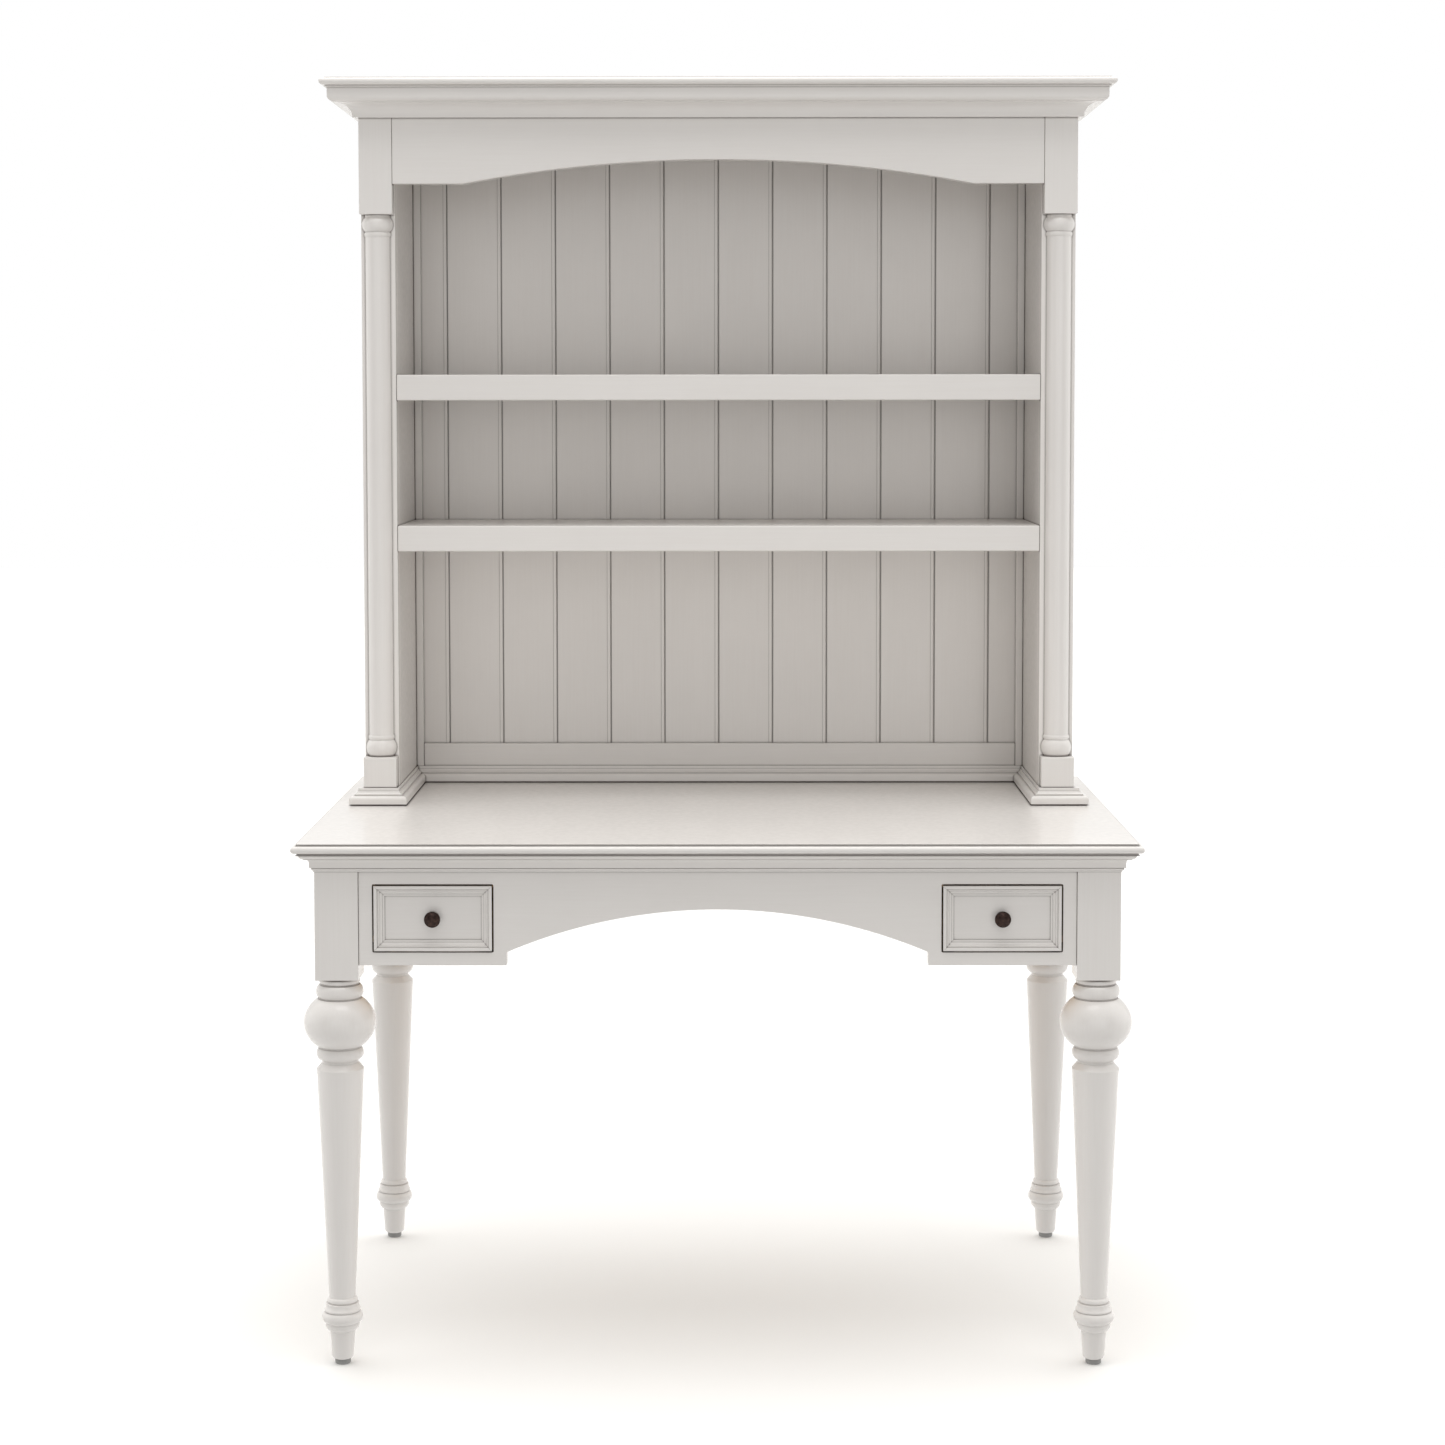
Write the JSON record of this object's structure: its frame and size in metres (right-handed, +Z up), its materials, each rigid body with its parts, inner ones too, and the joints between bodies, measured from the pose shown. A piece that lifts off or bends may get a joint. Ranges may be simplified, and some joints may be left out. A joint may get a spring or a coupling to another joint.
{
  "type": "desk hutch",
  "caption": "White painted writing desk with turned legs and small inset drawers, and an open shelved hutch with half columns and a cornice standing on its top.",
  "frame": {"origin": "on the floor, under the middle of the desk top", "axes": "+Z up, the front faces -Y, +X is to the right seen from the front"},
  "size_m": [1.243, 0.79, 1.933],
  "materials": {
    "white_paint": "satin white paint on wood",
    "pine": "clear lacquered pine",
    "beech": "bare beech",
    "knob_bronze": "dark antique bronze",
    "steel": "zinc plated",
    "glide_plastic": "matte"
  },
  "bodies": {
    "root": {"apron_dowels": "beech", "bracket_screws": "steel", "desk_moulding_front": "white_paint", "desk_moulding_left": "white_paint", "desk_moulding_rear": "white_paint", "desk_moulding_right": "white_paint", "desk_top": "white_paint", "drawer_stops": "pine", "front_apron": "white_paint", "hutch_back_boards": "white_paint", "hutch_back_plinth": "white_paint", "hutch_back_rail": "white_paint", "hutch_column_left": "white_paint", "hutch_column_right": "white_paint", "hutch_corner_battens": "white_paint", "hutch_cornice_front": "white_paint", "hutch_cornice_left": "white_paint", "hutch_cornice_right": "white_paint", "hutch_inner_panel_left": "white_paint", "hutch_inner_panel_right": "white_paint", "hutch_lower_shelf": "white_paint", "hutch_outer_panel_left": "white_paint", "hutch_outer_panel_right": "white_paint", "hutch_plinth_left": "white_paint", "hutch_plinth_right": "white_paint", "hutch_rear_post_left": "white_paint", "hutch_rear_post_right": "white_paint", "hutch_shelf_dowels": "beech", "hutch_shelf_lippings": "white_paint", "hutch_stile_left": "white_paint", "hutch_stile_right": "white_paint", "hutch_top_board": "white_paint", "hutch_upper_shelf": "white_paint", "hutch_valance": "white_paint", "left_apron": "white_paint", "left_drawer_guides": "pine", "leg_front_left": "white_paint", "leg_front_right": "white_paint", "leg_glides": "glide_plastic", "leg_rear_left": "white_paint", "leg_rear_right": "white_paint", "rear_apron": "white_paint", "right_apron": "white_paint", "right_drawer_guides": "pine", "steel_brackets": "steel"},
    "left_drawer": {"left_drawer_bottom": "pine", "left_drawer_box": "pine", "left_drawer_frame": "white_paint", "left_drawer_front": "white_paint", "left_drawer_knob": "knob_bronze", "left_knob_screw": "steel"},
    "right_drawer": {"right_drawer_bottom": "pine", "right_drawer_box": "pine", "right_drawer_frame": "white_paint", "right_drawer_front": "white_paint", "right_drawer_knob": "knob_bronze", "right_knob_screw": "steel"}
  },
  "joints": [
    {"name": "left_drawer_slide", "type": "slide", "parent": "root", "child": "left_drawer", "axis": [0, -1, 0], "range_m": [0, 0.28]},
    {"name": "right_drawer_slide", "type": "slide", "parent": "root", "child": "right_drawer", "axis": [0, -1, 0], "range_m": [0, 0.28]}
  ]
}
